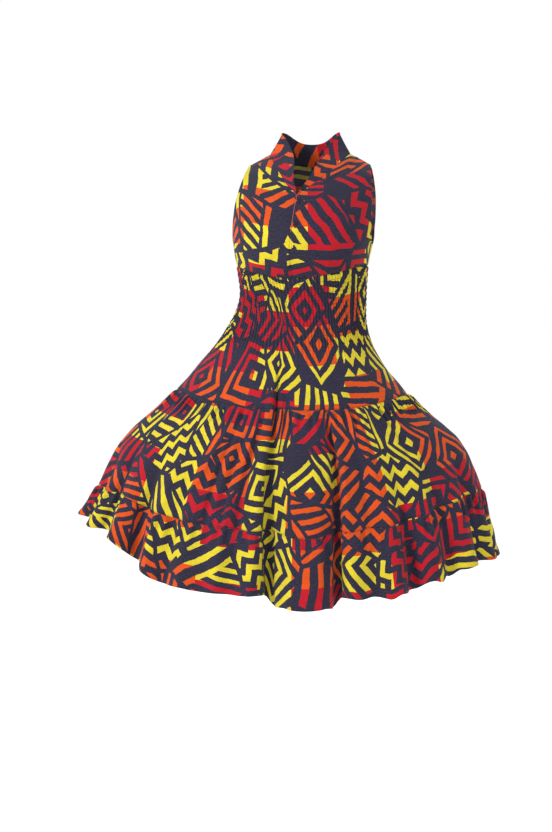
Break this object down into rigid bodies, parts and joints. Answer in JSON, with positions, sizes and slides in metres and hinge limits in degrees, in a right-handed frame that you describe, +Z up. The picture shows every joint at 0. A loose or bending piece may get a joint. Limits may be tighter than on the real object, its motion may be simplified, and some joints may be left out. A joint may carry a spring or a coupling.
{
  "type": "smock dress",
  "caption": "Sleeveless smock dress in printed cotton, as worn: buttoned V neck with a stand collar, smocked midriff and a wide skirt in gathered tiers, held out at both sides.",
  "frame": {"origin": "midway between the middles of the two shoulder seams, where the wearer's shoulders carry the dress", "axes": "+Z up along the wearer's body, -Y towards the front of the dress, +X towards the wearer's left"},
  "size_m": [0.9298, 0.511, 1.0177],
  "materials": {
    "printed_cotton": "plain-woven cotton with a geometric print in yellow, orange and red on a charcoal navy ground, light and matt",
    "button_plastic": "moulded polyester, near black, polished"
  },
  "bodies": {
    "root": {"bodice_front_left": "printed_cotton", "bodice_front_right": "printed_cotton", "bodice_back": "printed_cotton", "collar": "printed_cotton", "tier_one_front": "printed_cotton", "tier_one_back": "printed_cotton", "tier_two_front": "printed_cotton", "tier_two_back": "printed_cotton", "tier_three_front": "printed_cotton", "tier_three_back": "printed_cotton", "button_1": "button_plastic", "button_2": "button_plastic", "button_3": "button_plastic"}
  },
  "joints": []
}
